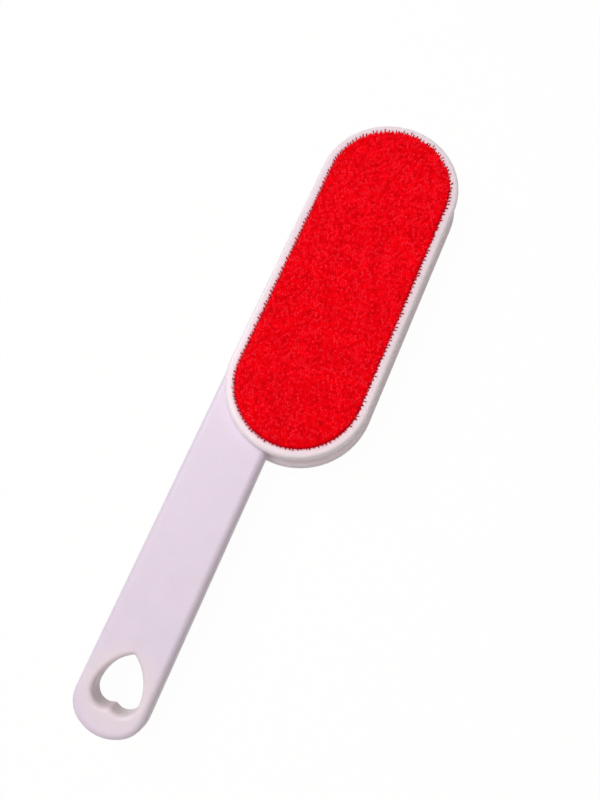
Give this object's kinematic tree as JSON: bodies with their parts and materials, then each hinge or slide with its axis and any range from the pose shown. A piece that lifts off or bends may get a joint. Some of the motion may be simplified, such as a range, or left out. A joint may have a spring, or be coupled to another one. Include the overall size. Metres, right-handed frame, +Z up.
{
  "type": "lint brush",
  "caption": "Folding lint brush: oval head with velour pads front and back, and a flat handle with a heart-shaped hanging hole that swings into a slot between the shells.",
  "frame": {"origin": "on the surface that the brush lies on, below the middle of the opened brush", "axes": "+Z up out of the front pad, +Y along the brush from the handle's free end to the head, +X to the side away from the handle"},
  "size_m": [0.063, 0.2758, 0.0218],
  "materials": {
    "white_shell": "smooth white moulding with a soft gloss",
    "white_handle": "smooth white moulding with a soft gloss",
    "red_velour": "short slanting pile on woven cloth",
    "foam_adhesive": "closed-cell foam, sticky on both faces",
    "screw_steel": "zinc plated"
  },
  "bodies": {
    "head": {"front_shell": "white_shell", "rear_shell": "white_shell", "front_velour": "red_velour", "rear_velour": "red_velour", "front_adhesive": "foam_adhesive", "rear_adhesive": "foam_adhesive", "shell_screws": "screw_steel"},
    "handle_arm": {"handle": "white_handle"}
  },
  "joints": [
    {"name": "handle_fold", "type": "hinge", "parent": "head", "child": "handle_arm", "pos_m": [-0.01605, 0.01515, 0.0109], "axis": [0, 0, -1], "range_deg": [0, 180]}
  ]
}
